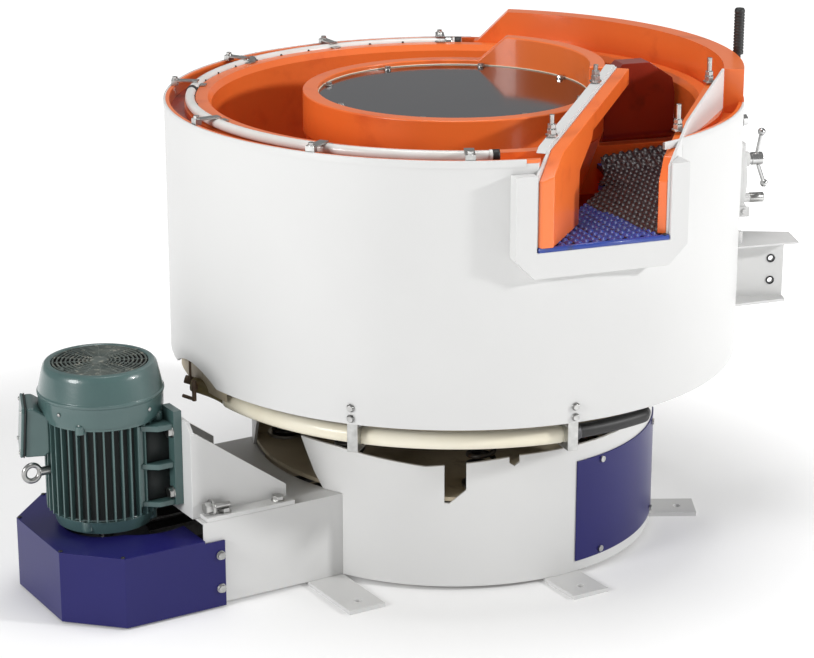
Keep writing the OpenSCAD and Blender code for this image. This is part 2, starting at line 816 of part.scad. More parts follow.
module screen_deck() {
    color("royalblue") difference() {
        translate([0, 0, deck_bottom]) linear_extrude(deck_t) deck_outline(5.1);
        chute_place() for (i = [0:9], k = [0:2])
            translate([-10 + i * 34 + k * 26, -520 + i * 36, lip_z - 20]) rotate([0, 0, -28])
                translate([18 + k * 62, 10, 0]) cube([46, 7, 40]);
        translate([0, 0, lip_z - 20]) cylinder(h = 60, r = hub_r + 3);
    }
}

// A wall along a line in the chute's frame: thickness towards the left or right, with an outline
module cheek_wall(a, b, t, side, outline) {
    d = b - a;
    translate([a[0], a[1], 0]) rotate([0, 0, atan2(d[1], d[0])]) translate([0, side > 0 ? t : 0, 0])
        rotate([90, 0, 0]) linear_extrude(t) polygon(outline);
}

// Everything in front of the chute frame's face
module chute_front_space() {
    chute_place() translate([-300, -chute_front - 100, 600]) cube([700, 100, 400]);
}

module left_cheek() {
    n = [left_b[1] - left_a[1], left_a[0] - left_b[0]] / left_len;
    color([0.94, 0.42, 0.14]) difference() {
        chute_place() cheek_wall(left_a + n * cheek_sheet_t, left_b + n * cheek_sheet_t, 24, -1,
            [[0, cheek_z], [177, cheek_z], [177, 801], [257, 841], [263, 855], [435, 878], [left_len, 888],
                [left_len, 919], [70, 862], [0, 822]]);
        translate([0, 0, lip_z]) cylinder(h = 300, r = hub_r + 1);
        chute_front_space();
    }
}

module right_cheek() {
    n = [right_a[1] - right_b[1], right_b[0] - right_a[0]] / right_len;
    color([0.94, 0.42, 0.14]) chute_place()
        cheek_wall(right_a + n * cheek_sheet_t, right_b + n * cheek_sheet_t - [30, 34], 16, 1,
            [[0, cheek_z], [right_len - 46, cheek_z], [right_len - 46, 906], [110, 862], [30, 836],
                [0, 798]]);
}

module cheek_plates() {
    color("whitesmoke") difference() {
        union() {
            chute_place() cheek_wall(left_a, left_b, cheek_sheet_t, -1,
                [[0, cheek_z], [172, cheek_z], [172, 806], [252, 846], [258, 860], [432, 883],
                    [left_len, 893], [left_len, 921], [70, 864], [0, 834]]);
            // top flange of the left plate
            difference() {
                chute_place() translate([left_a[0], left_a[1], 0])
                    rotate([0, 0, atan2(left_b[1] - left_a[1], left_b[0] - left_a[0])]) translate([0, 17, 0])
                        rotate([90, 0, 0]) linear_extrude(18)
                            polygon([[24, 836], [70, 862], [left_len, 919], [left_len, 924], [70, 867],
                                [24, 841]]);
                ring(bowl_r + 0.2, channel_out - 0.2, 560, rim_z + 0.2);
            }
            chute_place() cheek_wall(right_a, right_b, cheek_sheet_t, 1,
                [[0, cheek_z], [right_len - 8, cheek_z], [right_len - 8, 922], [120, 880], [0, 828]]);
        }
        translate([0, 0, lip_z]) cylinder(h = 300, r = hub_r + 1);
        chute_front_space();
    }
}

// Stud, nut and washer that clamp a cheek's top
module stud_clamp(height) {
    cylinder(h = 3, r = 11);
    translate([0, 0, 3]) cylinder(h = 9, r = 9, $fn = 6);
    translate([0, 0, 14]) cylinder(h = 7, r = 8, $fn = 6);
    cylinder(h = height, r = 4.5);
}

// Places a clamp beside the line from a to b: distance along it, to its left and height
module clamp_at(a, b, along, side, z, height) {
    d = (b - a) / norm(b - a);
    chute_place() translate([a[0] + d[0] * along - d[1] * side, a[1] + d[1] * along + d[0] * side, z])
        stud_clamp(height);
}

module cheek_clamps() {
    color("silver") {
        clamp_at(left_a, left_b, 120, 8, 875, 38);
        clamp_at(left_a, left_b, 409, 8, 912.2, 32);
        clamp_at(right_a, right_b, 110, 16.5, 864.5, 48);
        clamp_at(right_a, right_b, 340, 16.5, 905.5, 46);
    }
}

// ---------- spray and drain ----------
module spray_pipe() {
    color("whitesmoke") {
        translate([0, 0, spray_z]) rotate([0, 0, spray_from])
            rotate_extrude(angle = spray_to - spray_from) translate([spray_r, 0]) circle(r = 9, $fn = 32);
        for (a = [spray_from, 112.5, spray_to]) at(spray_r, a, spray_z) rotate([90, 0, 0])
            translate([0, 0, -9]) cylinder(h = 18, r = 10.2);
    }
}

module spray_clamps() {
    color("silver") for (a = [61, 88, 115, 142, 179, 211, 241]) rotate([0, 0, a]) {
        translate([479, -9, rim_z + 0.2]) cube([12, 18, 3]);
        translate([494, -9, rim_z + 7.8]) cube([52, 18, 3]);
        translate([534, -9, rim_z + 0.2]) cube([12, 18, 7.8]);
        translate([540, 0, rim_z + 10.6]) hex_bolt(10, 0);
    }
}

module drain_pipe() {
    color("ivory") {
        translate([0, 0, hose_z]) rotate([0, 0, -174])
            rotate_extrude(angle = 76) translate([hose_circle, 0]) circle(r = 16, $fn = 48);
        translate([0, 0, hose_z]) rotate([0, 0, -98])
            rotate_extrude(angle = 20) translate([hose_circle, 0]) circle(r = 13.5, $fn = 48);
        translate([0, 0, hose_z]) rotate([0, 0, -183])
            rotate_extrude(angle = 9) translate([hose_circle, 0]) circle(r = 14.5, $fn = 48);
        for (a = [-183, -78]) at(384.5, a, hose_z) rotate([0, 90, 0])
            cylinder(h = hose_circle - 384.5 + 16, r = 14.7);
    }
}

module drain_hose_clamps() {
    color("silver") for (a = [-141, -98.7]) rotate([0, 0, a]) {
        difference() {
            translate([hose_circle - 22, -10, hose_z - 22])
                cube([bowl_r - wall_t - 0.3 - hose_circle + 22, 20, 44]);
            rotate([90, 0, 0]) translate([hose_circle, hose_z, -20]) cylinder(h = 40, r = 18);
        }
        translate([bowl_r - wall_t - 3.3, -10, hose_z]) cube([3, 20, 76]);
        for (z = [384, 404]) translate([bowl_r + 0.1, 0, z]) rotate([0, 90, 0]) hex_bolt(11, 0);
    }
}

// ---------- outside fittings ----------
// A flat plate of the shelf bracket, wider at the wall
module shelf_plate(z, t, reach, half_wall, half_end) {
    translate([0, 0, z]) linear_extrude(t) polygon([[bowl_r - 8, -half_wall], [bowl_r + reach, -half_end],
        [bowl_r + reach, half_end], [bowl_r - 8, half_wall]]);
}

module shelf_bracket() {
    top = 545;
    color("whitesmoke") at(0, -24, 0) difference() {
        union() {
            shelf_plate(top, 4, 132, 62, 38);
            translate([bowl_r - 8, -2, 430]) cube([120, 4, top - 430]);
            shelf_plate(424, 6, 112, 54, 26);
            translate([bowl_r + 12, -30, top + 4]) cylinder(h = 24, r = 7);
        }
        translate([0, 0, 400]) cylinder(h = 200, r = bowl_r);
        for (z = [462, 507]) translate([bowl_r + 86, 20, z]) rotate([90, 0, 0]) cylinder(h = 40, r = 5.5);
    }
}

// Tube through the wall that the discharge door closes, with lugs for hinge and clamp
module discharge_port() {
    color("whitesmoke") at(0, door_dir, door_z) difference() {
        union() {
            translate([channel_out + 1, 0, 0]) rotate([0, 90, 0]) cylinder(h = 562 - channel_out - 1, r = 50);
            difference() {
                translate([bowl_r - 6, 0, 0]) rotate([0, 90, 0]) cylinder(h = 18, r = 68);
                translate([0, 0, -door_z + 400]) cylinder(h = 500, r = bowl_r);
            }
            for (s = [-1, 1]) translate([bowl_r, s > 0 ? 14 : -20, -86]) cube([44, 6, 20]);
        }
        translate([channel_out - 20, 0, 0]) rotate([0, 90, 0]) cylinder(h = 200, r = 44);
        translate([582, -40, -74]) rotate([-90, 0, 0]) cylinder(h = 80, r = 5.05);
        translate([0, 0, -door_z + 300]) cylinder(h = 600, r = channel_out + 0.5);
    }
}

module discharge_door() {
    color("whitesmoke") at(0, door_dir, door_z) {
        difference() {
            union() {
                translate([562.4, 0, 0]) rotate([0, 90, 0]) cylinder(h = 9, r = 66);
                translate([571.4, -13.6, -66]) cube([12, 27.2, 128]);
                translate([576, -13.6, -86]) cube([12, 27.2, 24]);
                translate([571.4, 0, clamp_up]) rotate([0, 90, 0]) cylinder(h = 22, r = 15);
                translate([580, 0, -52]) rotate([0, 90, 0]) cylinder(h = 46, r = 9);
            }
            translate([540, 0, clamp_up]) rotate([0, 90, 0]) cylinder(h = 80, r = 7.05);
        }
        translate([582, -26, -74]) rotate([-90, 0, 0]) cylinder(h = 52, r = 5);
    }
}

module clamp_collar() {
    color("silver") at(0, door_dir, door_z + clamp_up) difference() {
        translate([593.6, 0, 0]) rotate([0, 90, 0]) cylinder(h = 5, r = 12);
        translate([580, 0, 0]) rotate([0, 90, 0]) cylinder(h = 40, r = 7.05);
    }
}

module clamp_handle() {
    arm = 54;
    color("silver") at(0, door_dir, door_z + clamp_up) {
        translate([563, 0, 0]) rotate([0, 90, 0]) cylinder(h = 58, r = 7);
        translate([598.7, 0, 0]) rotate([0, 90, 0]) cylinder(h = 22, r = 13);
        // the bar's two arms lean outwards, the lower one more
        for (v = [[0, 10], [180, 20]]) rotate([v[0], 0, 0]) translate([609, 0, 0]) rotate([0, v[1], 0]) {
            cylinder(h = arm, r = 4);
            translate([0, 0, arm]) sphere(r = 8);
        }
    }
}

// ---------- separation flap ----------
module flap_place() {
    at(0, flap_dir, flap_z) children();
}

module separation_flap() {
    color([0.94, 0.42, 0.14]) flap_place() {
        difference() {
            union() {
                rotate([90, 0, 0]) translate([0, 0, -22]) linear_extrude(44)
                    polygon([[302, 0], [451, 0], [451, 70], [445, 102], [396, 135], [340, 135],
                        [302, 100]]);
                translate([302, 0, 0]) rotate([0, 90, 0]) cylinder(h = 150, r = 22);
            }
            translate([290, 0, 0]) rotate([0, 90, 0]) cylinder(h = 170, r = 12);
        }
    }
}

module flap_shaft() {
    color("silver") flap_place() {
        translate([300, 0, 0]) rotate([0, 90, 0]) cylinder(h = 306, r = 12);
        translate([606, 0, 0]) rotate([0, 90, 0]) cylinder(h = 12, r = 12, $fn = 6);
    }
}

module flap_lever() {
    color("dimgray") flap_place() {
        difference() {
            translate([584, 0, 0]) rotate([0, 90, 0]) cylinder(h = 20, r = 20);
            translate([580, 0, 0]) rotate([0, 90, 0]) cylinder(h = 30, r = 12);
        }
        translate([590, -5, 18]) cube([8, 10, 120]);
    }
}

module flap_grip() {
    color("black") flap_place() difference() {
        translate([594, 0, 134]) cylinder(h = 92, r = 10);
        translate([589.9, -5.1, 133]) cube([8.2, 10.2, 5.1]);
    }
}

base_shell();
spring_deck();
foot_tabs();
access_cover();
access_cover_screws();
belt_housing();
belt_guard();
belt_guard_bolts();
drive_bearing_housing();
drive_bearings();
lower_spring_seats();
support_springs();
v_belts();
motor_bracket();
bracket_bolts();
motor_frame();
motor_end_shield();
motor_cowl();
terminal_box();
lifting_eye();
motor_shaft();
motor_fan();
motor_pulley();
drive_shaft();
driven_pulley();
coupling_lower();
coupling_spider();
exciter_shaft();
coupling_upper();
lower_weight();
upper_weight();
bowl_shell();
bowl_underframe();
upper_spring_seats();
exciter_housing();
exciter_bearings();
bowl_lining();
hub_lining();
channel_ramp();
hub_cover();
hub_cover_bolts();
chute_frame();
left_cheek();
right_cheek();
cheek_plates();
cheek_clamps();
screen_deck();
spray_pipe();
spray_clamps();
drain_pipe();
drain_hose_clamps();
shelf_bracket();
discharge_port();
separation_flap();
flap_shaft();
flap_lever();
flap_grip();
discharge_door();
clamp_collar();
clamp_handle();
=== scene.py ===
"""Looks of a rotary vibratory tumbler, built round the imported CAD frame. Sizes are in millimetres."""
import json
import math

import bpy
from mathutils import Matrix, Vector


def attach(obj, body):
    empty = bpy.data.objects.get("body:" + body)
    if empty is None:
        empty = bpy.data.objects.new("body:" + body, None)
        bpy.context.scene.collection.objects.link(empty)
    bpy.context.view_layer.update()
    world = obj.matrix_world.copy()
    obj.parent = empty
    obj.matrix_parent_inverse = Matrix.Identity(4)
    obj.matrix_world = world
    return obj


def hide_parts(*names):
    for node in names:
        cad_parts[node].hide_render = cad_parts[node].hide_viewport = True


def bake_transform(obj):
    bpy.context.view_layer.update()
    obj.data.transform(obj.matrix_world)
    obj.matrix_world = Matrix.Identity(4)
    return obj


MM = 0.001

# Places shared with the CAD part
MOTOR_X = -752
MOTOR_R = 106
RIM_Z = 858
BOWL_R = 550
CHUTE_YAW = -10.3
LIP_Z = 700
FLAP_DIR = -13
FLAP_Z = 760
HOSE_R = 510
HOSE_Z = 340
SPRINGS = 8
SPRING_CIRCLE = 330
SPRING_Z0 = 190
SPRING_Z1 = 284

# A finish wanders between its two colours over the middle half of its noise
WANDER_FROM = 0.25
WANDER_TO = 0.75
COAT_ROUGH = 0.05
BUMP_DEPTH = 1

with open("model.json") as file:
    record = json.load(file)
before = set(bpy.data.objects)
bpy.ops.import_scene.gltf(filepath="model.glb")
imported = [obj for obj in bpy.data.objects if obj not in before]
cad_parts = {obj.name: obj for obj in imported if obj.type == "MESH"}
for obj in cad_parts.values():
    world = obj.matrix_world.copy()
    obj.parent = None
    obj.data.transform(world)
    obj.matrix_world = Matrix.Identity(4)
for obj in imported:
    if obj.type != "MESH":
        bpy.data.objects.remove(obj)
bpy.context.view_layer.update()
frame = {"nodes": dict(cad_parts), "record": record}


# ---------- materials ----------
def rgb(red, green, blue):
    """An sRGB colour of 0 to 255 as linear RGBA."""
    out = []
    for value in (red, green, blue):
        c = value / 255
        out.append(c / 12.92 if c <= 0.04045 else ((c + 0.055) / 1.055) ** 2.4)
    return (*out, 1)


def mix_colours(tree, mask, a, b):
    """A colour mix of a and b, each a constant or a socket, by a mask socket."""
    mix = tree.nodes.new("ShaderNodeMix")
    mix.data_type = "RGBA"
    tree.links.new(mask, mix.inputs["Factor"])
    for key, value in (("A", a), ("B", b)):
        socket = [s for s in mix.inputs if s.name == key and s.type == "RGBA"][0]
        if isinstance(value, bpy.types.NodeSocket):
            tree.links.new(value, socket)
        else:
            socket.default_value = value
    return [s for s in mix.outputs if s.type == "RGBA"][0]


def noise_on_object(tree, scale, detail):
    """The level of a noise in the object's own space."""
    coords = tree.nodes.new("ShaderNodeTexCoord")
    noise = tree.nodes.new("ShaderNodeTexNoise")
    noise.inputs["Scale"].default_value = scale
    noise.inputs["Detail"].default_value = detail
    tree.links.new(coords.outputs["Object"], noise.inputs["Vector"])
    return noise.outputs["Fac"]


def noise_mask(tree, scale, low, high, detail):
    """A noise cut to a mask between two levels."""
    ramp = tree.nodes.new("ShaderNodeMapRange")
    ramp.inputs["From Min"].default_value = low
    ramp.inputs["From Max"].default_value = high
    tree.links.new(noise_on_object(tree, scale, detail), ramp.inputs["Value"])
    return ramp.outputs["Result"]


def surface(name, colour, rough, metal=0.0, coat=0.0, specular=0.5, second=None, scale=6,
            dirt=None, dirt_scale=20, dirt_from=0.58, dirt_to=0.72, grain=0.0, grain_scale=300):
    """A procedural finish: a base colour that wanders to a second one, patches of dirt and a fine bump."""
    m = bpy.data.materials.new(name)
    m.use_nodes = True
    tree = m.node_tree
    shader = tree.nodes["Principled BSDF"]
    shader.inputs["Roughness"].default_value = rough
    shader.inputs["Metallic"].default_value = metal
    shader.inputs["Coat Weight"].default_value = coat
    shader.inputs["Coat Roughness"].default_value = COAT_ROUGH
    shader.inputs["Specular IOR Level"].default_value = specular
    shader.inputs["Base Color"].default_value = colour
    m.diffuse_color = colour
    out = None
    if second:
        mask = noise_mask(tree, scale, WANDER_FROM, WANDER_TO, detail=5)
        out = mix_colours(tree, mask, colour, second)
    if dirt:
        mask = noise_mask(tree, dirt_scale, dirt_from, dirt_to, detail=8)
        out = mix_colours(tree, mask, out or colour, dirt)
    if out:
        tree.links.new(out, shader.inputs["Base Color"])
    if grain:
        bump = tree.nodes.new("ShaderNodeBump")
        bump.inputs["Strength"].default_value = grain
        bump.inputs["Distance"].default_value = BUMP_DEPTH * MM
        tree.links.new(noise_on_object(tree, grain_scale, 3), bump.inputs["Height"])
        tree.links.new(bump.outputs["Normal"], shader.inputs["Normal"])
    return m


WHITE = surface("white_paint", rgb(212, 212, 211), 0.42, specular=0.3, second=rgb(207, 207, 206), scale=2.5,
                grain=0.1, grain_scale=420)
# Beige: the white paint's look in the shade inside the base and under the bowl, painted into the colour; its
# darker patches are dirt.
WHITE_IN_SHADE = surface("underside_white_in_painted_shade", rgb(190, 178, 154), 0.6, second=rgb(164, 150, 126), scale=9,
                dirt=rgb(120, 104, 82), dirt_scale=30, dirt_from=0.58, dirt_to=0.78, grain=0.2)
BLUE = surface("blue_paint", rgb(31, 29, 90), 0.3, specular=0.28, second=rgb(34, 32, 98), scale=5,
               grain=0.06)
MOTOR = surface("motor_paint", rgb(74, 100, 98), 0.3, second=rgb(64, 88, 87), scale=9, coat=0.4, grain=0.2,
                grain_scale=260)
MOTOR_DUSTY = surface("motor_paint_dusty", rgb(66, 78, 76), 0.55, second=rgb(92, 98, 92), scale=30,
                      dirt=rgb(142, 142, 132), dirt_scale=90, dirt_from=0.56, dirt_to=0.72, grain=0.3)
# Near black: painted shade between the motor's fins and in the feet's recesses.
FIN_SHADE = surface("fin_shade", rgb(12, 18, 18), 0.7, second=rgb(20, 27, 26), scale=20)
ORANGE = surface("orange_polyurethane", rgb(240, 120, 54), 0.32, coat=0.2, second=rgb(234, 110, 44),
                 scale=4, dirt=rgb(212, 90, 38), dirt_scale=14, dirt_from=0.58, dirt_to=0.85,
                 grain=0.12, grain_scale=180)
# Dark red: the orange polyurethane in painted shade, for the flap, the channel ramp and the rim groove.
ORANGE_SHADED = surface("orange_polyurethane_painted_shade", rgb(150, 44, 22), 0.32, second=rgb(126, 32, 18), scale=8, coat=0.25,
               dirt=rgb(92, 22, 14), dirt_scale=30, dirt_from=0.55, dirt_to=0.8, grain=0.15, grain_scale=200)
DECK = surface("blue_polyurethane", rgb(42, 70, 156), 0.4, second=rgb(34, 58, 138), scale=12, coat=0.15,
               dirt=rgb(58, 66, 104), dirt_scale=50, dirt_from=0.56, dirt_to=0.76, grain=0.15)
# Dark brown: the blue deck in painted shadow past the right cheek's shadow line, also meant as grime towards
# the channel.
DECK_SHADOW_AND_GRIME = surface("blue_polyurethane_shadow_and_grime", rgb(50, 38, 40), 0.42, coat=0.12, second=rgb(36, 28, 34),
                    scale=12, dirt=rgb(84, 66, 64), dirt_scale=60, dirt_from=0.56, dirt_to=0.76,
                    grain=0.15)
# Dark red in the slots: painted shade under the screen.
SLOT_SHADE = surface("deck_slots", rgb(74, 28, 20), 0.6, second=rgb(30, 20, 20), scale=40)
COVER = surface("cover_paint", rgb(118, 119, 124), 0.1, metal=1.0, second=rgb(112, 113, 118), scale=3)
ZINC = surface("zinc_steel", rgb(200, 200, 198), 0.28, metal=1, second=rgb(160, 160, 158), scale=60)
BRIGHT = surface("bright_steel", rgb(206, 206, 205), 0.2, metal=1, second=rgb(170, 170, 170), scale=30)
SPRING = surface("spring_steel", rgb(72, 70, 68), 0.42, metal=0.7, second=rgb(52, 48, 44), scale=40,
                 dirt=rgb(110, 76, 50), dirt_scale=60, dirt_from=0.6, dirt_to=0.75)
IRON = surface("cast_iron", rgb(88, 88, 90), 0.5, metal=0.6, second=rgb(70, 70, 72), scale=30, grain=0.3)
RUBBER = surface("black_rubber", rgb(28, 28, 29), 0.5, second=rgb(38, 37, 36), scale=30, grain=0.15)
SPIDER = surface("coupling_rubber", rgb(190, 50, 30), 0.5, second=rgb(160, 40, 26), scale=20)
BLACK = surface("black_steel", rgb(34, 34, 36), 0.4, metal=0.5, second=rgb(48, 48, 50), scale=30)
FAN = surface("fan_plastic", rgb(56, 58, 60), 0.5, second=rgb(44, 46, 48), scale=20)
PIPE = surface("white_pipe", rgb(228, 228, 226), 0.32, second=rgb(216, 215, 210), scale=20, coat=0.2)
HOSE = surface("ivory_hose", rgb(232, 227, 210), 0.34, second=rgb(224, 216, 192), scale=10, coat=0.2)
OLIVE = surface("old_hose", rgb(128, 116, 70), 0.45, second=rgb(96, 80, 48), scale=24, dirt=rgb(128, 84, 46),
                dirt_scale=50, dirt_from=0.55, dirt_to=0.72)
RUST = surface("rusty_steel", rgb(118, 98, 80), 0.55, metal=0.3, second=rgb(88, 70, 56), scale=60, grain=0.3)
# Near black: painted shade in hollows.
HOLLOW_SHADE = surface("hollow_painted_shade", rgb(16, 15, 15), 0.8, second=rgb(24, 22, 21), scale=20)

BY_SLOT = {"white_paint": WHITE, "blue_paint": BLUE, "motor_paint": MOTOR, "orange_polyurethane": ORANGE,
           "blue_polyurethane": DECK, "cover_paint": COVER, "zinc_steel": ZINC, "bright_steel": BRIGHT,
           "spring_steel": SPRING, "cast_iron": IRON, "black_rubber": RUBBER, "coupling_rubber": SPIDER,
           "black_steel": BLACK, "fan_plastic": FAN, "white_pipe": PIPE, "ivory_hose": HOSE}
# The flap and the channel ramp take the orange polyurethane in painted shade; the spring deck and the
# underframe take the white paint in painted shade.
BY_NODE = {"spring_deck": WHITE_IN_SHADE, "bowl_underframe": WHITE_IN_SHADE, "foot_tabs": WHITE,
           "separation_flap": ORANGE_SHADED, "channel_ramp": ORANGE_SHADED, "bowl_lining": ORANGE}


# ---------- helpers ----------
MERGE_WITHIN = 0.02
FLAT_ANGLE = 0.6
EDGE_ANGLE = 32


def soften(obj, width, flatten=True):
    """Rounds an object's edges with modifiers only, after its flat faces are merged."""
    weld = obj.modifiers.new("Weld", "WELD")
    weld.merge_threshold = MERGE_WITHIN * MM
    if flatten:
        flats = obj.modifiers.new("Flats", "DECIMATE")
        flats.decimate_type = "DISSOLVE"
        flats.angle_limit = math.radians(FLAT_ANGLE)
    bevel = obj.modifiers.new("Bevel", "BEVEL")
    bevel.width = width * MM
    bevel.segments = 2
    bevel.limit_method = "ANGLE"
    bevel.angle_limit = math.radians(EDGE_ANGLE)
    bevel.harden_normals = True
    bevel.use_clamp_overlap = False


def shade(obj):
    """Smooth shading on every face."""
    obj.data.polygons.foreach_set("use_smooth", [True] * len(obj.data.polygons))


def piece(name, verts, faces, materials, body, slot, width=0.0, indices=None):
    """A mesh object from points in millimetres that rides on a CAD body."""
    mesh = bpy.data.meshes.new(name)
    mesh.from_pydata([(x * MM, y * MM, z * MM) for x, y, z in verts], [], faces)
    obj = bpy.data.objects.new(name, mesh)
    bpy.context.scene.collection.objects.link(obj)
    for m in materials if isinstance(materials, (list, tuple)) else [materials]:
        mesh.materials.append(m)
    if indices:
        mesh.polygons.foreach_set("material_index", indices)
    mesh.validate()
    shade(obj)
    if width:
        soften(obj, width)
    if body:
        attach(obj, body)
    return obj


def turned(angle, x=0.0, y=0.0, z=0.0):
    """Rotation about the origin's z axis after a shift, in millimetres."""
    return Matrix.Rotation(math.radians(angle), 4, "Z") @ Matrix.Translation((x, y, z))


def mapped(points, place):
    """Points moved by a place's matrix."""
    return [tuple(place @ Vector(p)) for p in points]


def lathe_mesh(profile, segments=64, start=0.0, sweep=360.0):
    """Points and faces of a profile of (radius, height) turned about z."""
    full = abs(sweep) >= 360
    count = segments if full else segments + 1
    verts = []
    for i in range(count):
        a = math.radians(start + sweep * i / segments)
        for r, z in profile:
            verts.append((r * math.cos(a), r * math.sin(a), z))
    n = len(profile)
    faces = []
    for i in range(segments):
        j = (i + 1) % count
        for k in range(n - 1):
            faces.append((i * n + k, j * n + k, j * n + k + 1, i * n + k + 1))
    return verts, faces


def tube_mesh(path, radius, sides=12, closed=False, radii=None):
    """Points and faces of a round tube along a path."""
    points = [Vector(p) for p in path]
    n = len(points)
    verts = []
    faces = []
    normal = None
    for i, p in enumerate(points):
        before = points[i - 1] if i or closed else points[i]
        after = points[(i + 1) % n] if i < n - 1 or closed else points[i]
        along = (after - before).normalized()
        if normal is None:
            seed = Vector((0, 0, 1)) if abs(along.z) < 0.9 else Vector((1, 0, 0))
            normal = along.cross(seed).normalized()
        normal = (normal - along * normal.dot(along)).normalized()
        side = along.cross(normal)
        r = radii[i] if radii else radius
        for k in range(sides):
            a = 2 * math.pi * k / sides
            verts.append(tuple(p + normal * (r * math.cos(a)) + side * (r * math.sin(a))))
    rings = n if closed else n - 1
    for i in range(rings):
        j = (i + 1) % n
        for k in range(sides):
            m = (k + 1) % sides
            faces.append((i * sides + k, i * sides + m, j * sides + m, j * sides + k))
    if not closed:
        faces.append(tuple(range(sides - 1, -1, -1)))
        faces.append(tuple(range((n - 1) * sides, n * sides)))
    return verts, faces


def prism_mesh(outline, z0, z1):
    """Points and faces of an outline in x and y between two heights."""
    n = len(outline)
    verts = [(x, y, z0) for x, y in outline] + [(x, y, z1) for x, y in outline]
    faces = [tuple(range(n - 1, -1, -1)), tuple(range(n, 2 * n))]
    faces += [(i, (i + 1) % n, n + (i + 1) % n, n + i) for i in range(n)]
    return verts, faces


def joined(parts):
    """Several (verts, faces) meshes as one."""
    verts = []
    faces = []
    for v, f in parts:
        shift = len(verts)
        verts += v
        faces += [tuple(i + shift for i in face) for face in f]
    return verts, faces


def moved(mesh, place):
    """A (verts, faces) mesh at a place."""
    return mapped(mesh[0], place), mesh[1]


def pan_mesh(r, place):
    """A round screw head with a domed top."""
    profile = [(r, 0), (r, r * 0.25), (r * 0.85, r * 0.5), (r * 0.5, r * 0.66), (0, r * 0.7)]
    return moved(lathe_mesh(profile, 24), place)


def facing(x, y, z, direction):
    """A place at a point whose z axis looks along a direction."""
    turn = Vector(direction).to_track_quat("Z", "Y").to_matrix().to_4x4()
    return Matrix.Translation((x, y, z)) @ turn


def on_circle(r, angle, z):
    """A point at a radius and an angle in degrees round the bowl's axis."""
    a = math.radians(angle)
    return (r * math.cos(a), r * math.sin(a), z)


def arc_path(r, z, start, end, steps):
    """A path of level points round the bowl's axis."""
    return [on_circle(r, start + (end - start) * i / steps, z) for i in range(steps + 1)]


def chute(x, y, z):
    """A point of the chute's own turned frame in the object's frame."""
    return tuple(turned(CHUTE_YAW) @ Vector((x, y, z)))


# ---------- CAD nodes ----------
slot_of = {part["node"]: part["material_slot"] for part in frame["record"]["subparts"]}
EDGE = 1.0
EDGE_OF = {"motor_frame": 0.5, "spray_clamps": 0.4, "hub_cover_bolts": 0.4, "cheek_clamps": 0.4,
           "belt_guard_bolts": 0.4, "bracket_bolts": 0.5, "clamp_collar": 0.4, "clamp_handle": 0.5,
           "drive_bearings": 0.4, "exciter_bearings": 0.4, "access_cover_screws": 0.4, "flap_shaft": 0.6,
           "bowl_lining": 0.0, "hub_lining": 3.0, "left_cheek": 2.0, "right_cheek": 2.0,
           "chute_frame": 1.6, "channel_ramp": 0.0, "cheek_plates": 1.2}
for node, obj in frame["nodes"].items():
    obj.data.materials.clear()
    obj.data.materials.append(BY_NODE.get(node, BY_SLOT[slot_of[node]]))
    if obj.data.has_custom_normals:
        with bpy.context.temp_override(object=obj, active_object=obj):
            bpy.ops.mesh.customdata_custom_splitnormals_clear()
    for name in ("sharp_edge", "sharp_face"):
        if name in obj.data.attributes:
            obj.data.attributes.remove(obj.data.attributes[name])
    shade(obj)
    edge = EDGE_OF.get(node, EDGE)
    if edge:
        soften(obj, edge, flatten=node != "chute_frame")


# ---------- support springs ----------
SPRING_R = 24
WIRE = 5
TURNS = 6
DEAD_TURNS = 0.8
TURN_STEPS = 28


def spring_path(x, y):
    """A helix with closed ends round an upright line."""
    path = []
    low, high = SPRING_Z0 + WIRE, SPRING_Z1 - WIRE
    for i in range(TURNS * TURN_STEPS + 1):
        t = i / TURN_STEPS
        f = min(max((t - DEAD_TURNS) / (TURNS - 2 * DEAD_TURNS), 0), 1)
        a = 2 * math.pi * t
        path.append((x + SPRING_R * math.cos(a), y + SPRING_R * math.sin(a), low + (high - low) * f))
    return path


coils = []
for i in range(SPRINGS):
    cx, cy = on_circle(SPRING_CIRCLE, (i + 0.5) * 360 / SPRINGS, 0)[:2]
    coils.append(tube_mesh(spring_path(cx, cy), WIRE, 10))
springs = piece("coil_springs", *joined(coils), SPRING, None, "spring_steel")
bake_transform(springs)
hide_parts("support_springs")

# ---------- V-belts round both pulleys ------------------------------------------------
DRIVEN_R = 95
DRIVER_R = 76
BELT_LEVELS = [72, 96]
BELT_OUT = 5
BELT_IN = 6
BELT_HALF_OUT = 8.5
BELT_HALF_IN = 6.5
WRAP_STEPS = 32
SPAN_STEPS = 20


